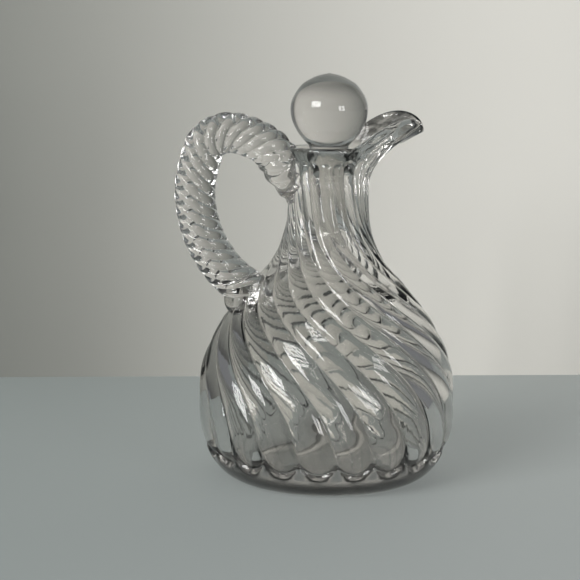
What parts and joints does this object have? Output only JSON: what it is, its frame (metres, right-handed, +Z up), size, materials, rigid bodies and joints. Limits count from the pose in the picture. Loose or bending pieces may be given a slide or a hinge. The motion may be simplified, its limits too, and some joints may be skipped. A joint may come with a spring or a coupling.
{
  "type": "oil cruet",
  "caption": "Clear glass oil cruet with swirled tongues on the bottle, a pulled pouring lip, a twisted rope handle and a solid ball stopper that lifts out of the neck.",
  "frame": {"origin": "centre of the flat underside", "axes": "+Z up through the neck, +X towards the pouring lip, -X towards the handle"},
  "size_m": [0.1019, 0.0931, 0.1461],
  "materials": {
    "bottle_glass": "clear pressed glass, fire polished, faint grey-rose cast in the thick foot",
    "handle_glass": "clear glass rope, twisted hot",
    "stopper_glass": "clear solid glass, polished ball with an oil-smooth shank"
  },
  "bodies": {
    "root": {"bottle": "bottle_glass", "handle": "handle_glass"},
    "stopper": {"stopper": "stopper_glass"}
  },
  "joints": [
    {"name": "stopper_lift", "type": "slide", "parent": "root", "child": "stopper", "axis": [0, 0, 1], "range_m": [0, 0.045]}
  ]
}
